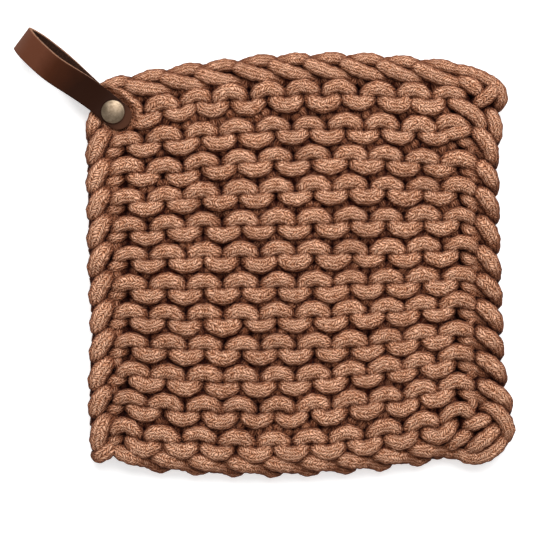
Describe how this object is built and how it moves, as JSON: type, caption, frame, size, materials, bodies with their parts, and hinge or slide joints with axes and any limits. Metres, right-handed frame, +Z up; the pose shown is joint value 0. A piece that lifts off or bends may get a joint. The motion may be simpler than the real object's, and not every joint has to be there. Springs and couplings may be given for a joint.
{
  "type": "pot holder",
  "caption": "Square knitted cotton cord pot holder that pads hot cookware, with a riveted leather loop at one corner to hang it by.",
  "frame": {"origin": "under the middle of the knitted square, on the surface that it lies on", "axes": "+Z up out of the front face, +Y towards the bound-off edge with the loop, +X towards the side away from the loop"},
  "size_m": [0.2437, 0.22, 0.0192],
  "materials": {
    "cotton_cord": "soft braided cotton, matte",
    "strap_leather": "dark brown smooth grain, low sheen",
    "aged_brass": "aged, satin"
  },
  "bodies": {
    "root": {"knit_square": "cotton_cord", "leather_loop": "strap_leather", "rivet": "aged_brass"}
  },
  "joints": []
}
